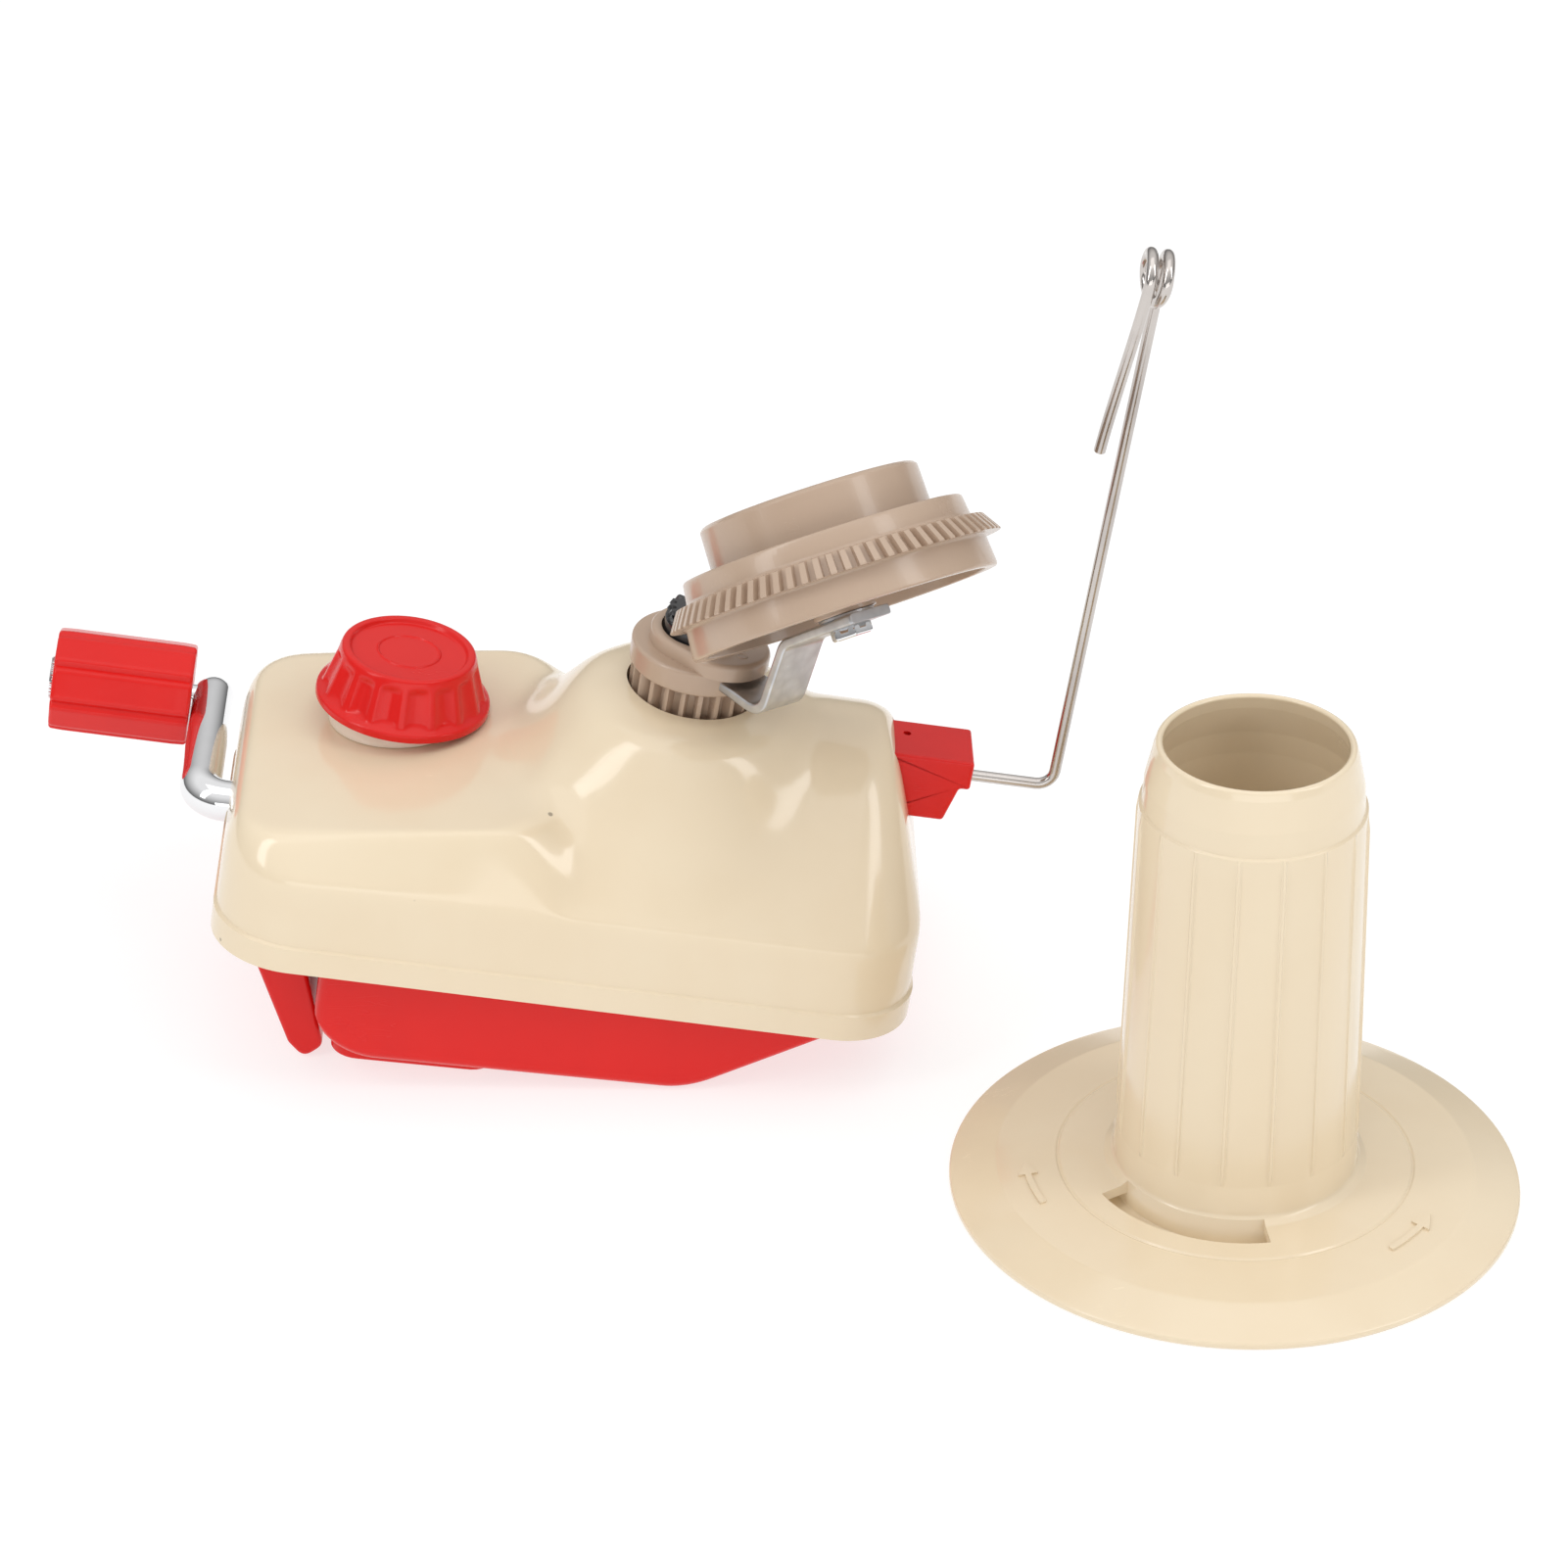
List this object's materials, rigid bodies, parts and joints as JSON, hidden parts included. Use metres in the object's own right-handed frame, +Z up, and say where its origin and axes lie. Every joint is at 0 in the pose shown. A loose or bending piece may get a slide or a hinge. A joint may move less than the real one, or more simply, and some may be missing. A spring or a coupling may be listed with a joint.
{
  "type": "ball winder",
  "caption": "Hand-cranked yarn ball winder: crank-driven tilted rotor on a clamp-on housing, wire yarn guide, and a pull-off flanged spool standing beside it.",
  "frame": {"origin": "middle of the object's footprint, on the floor it stands on", "axes": "+Z up; +X from the crank towards the yarn guide and the spool; +Y to the back, away from the user's side with the spool's latch window"},
  "size_m": [0.2936, 0.1718, 0.1689],
  "materials": {
    "cream_plastic": "gloss moulded",
    "red_plastic": "gloss moulded",
    "tan_plastic": "satin moulded",
    "black_plastic": "satin moulded",
    "clear_plastic": "gloss moulded",
    "white_nylon": "satin moulded",
    "chrome_steel": "bright plated",
    "wire_steel": "drawn bright",
    "zinc_steel": "zinc plated",
    "brass": "turned",
    "rubber": "matte"
  },
  "bodies": {
    "housing": {"top_cover": "cream_plastic", "base_housing": "red_plastic", "cover_screws": "zinc_steel", "knob_washer": "clear_plastic", "crank_bush_outer": "white_nylon", "crank_bush_inner": "white_nylon", "centre_post": "zinc_steel", "thrust_washer": "zinc_steel", "sun_gear": "black_plastic", "sun_gear_screw": "zinc_steel", "guide_arm": "red_plastic", "guide_arm_screw": "zinc_steel", "yarn_guide_wire": "wire_steel"},
    "clamp_knob": {"clamp_knob": "red_plastic", "clamp_nut": "brass", "knob_circlip": "zinc_steel"},
    "clamp_jaw": {"clamp_jaw": "red_plastic", "jaw_pad": "rubber", "clamp_screw": "zinc_steel", "jaw_guide_rod": "zinc_steel"},
    "crank": {"crank": "chrome_steel", "crown_gear": "white_nylon", "crank_clip": "zinc_steel", "grip_pin": "chrome_steel"},
    "grip": {"crank_grip": "red_plastic"},
    "carrier": {"drive_gear": "tan_plastic", "carrier_flange": "tan_plastic", "rotor_bracket": "zinc_steel", "carrier_rivets": "zinc_steel", "rotor_pin": "zinc_steel", "rotor_pin_nut": "chrome_steel", "rotor_washer": "zinc_steel", "rotor_clip": "zinc_steel"},
    "rotor": {"rotor": "tan_plastic", "rotor_cap": "tan_plastic"},
    "spool": {"spool": "cream_plastic"}
  },
  "joints": [
    {"name": "crank_turn", "type": "hinge", "parent": "housing", "child": "crank", "pos_m": [-0.03778, 0.03671, 0.03458], "axis": [0.9875, 0.0172, -0.1564], "continuous": true},
    {"name": "grip_spin", "type": "hinge", "parent": "crank", "child": "grip", "pos_m": [-0.12736, 0.07515, 0.04866], "axis": [0.9875, 0.0172, -0.1564], "continuous": true},
    {"name": "carrier_turn", "type": "hinge", "parent": "housing", "child": "carrier", "pos_m": [-0.01478, 0.03711, 0.0603], "axis": [0.1564, 0.0027, 0.9877], "continuous": true},
    {"name": "rotor_spin", "type": "hinge", "parent": "carrier", "child": "rotor", "pos_m": [0.0145, 0.01266, 0.10838], "axis": [-0.3081, 0.4976, 0.8108], "continuous": true},
    {"name": "knob_turn", "type": "hinge", "parent": "housing", "child": "clamp_knob", "pos_m": [-0.07192, 0.04631, 0.0592], "axis": [0.1564, 0.0027, 0.9877], "range_deg": [0, 5040]},
    {"name": "jaw_slide", "type": "slide", "parent": "housing", "child": "clamp_jaw", "axis": [-0.1564, -0.0027, -0.9877], "range_m": [0, 0.028]},
    {"name": "spool_lift", "type": "slide", "parent": "housing", "child": "spool", "axis": [0, 0, 1], "range_m": [0, 0.15]}
  ],
  "couplings": [
    {"joint": "carrier_turn", "follows": "crank_turn", "ratio": 2.087},
    {"joint": "rotor_spin", "follows": "crank_turn", "ratio": 0.54318},
    {"joint": "jaw_slide", "follows": "knob_turn", "m_per_rad": 0.00031831}
  ]
}
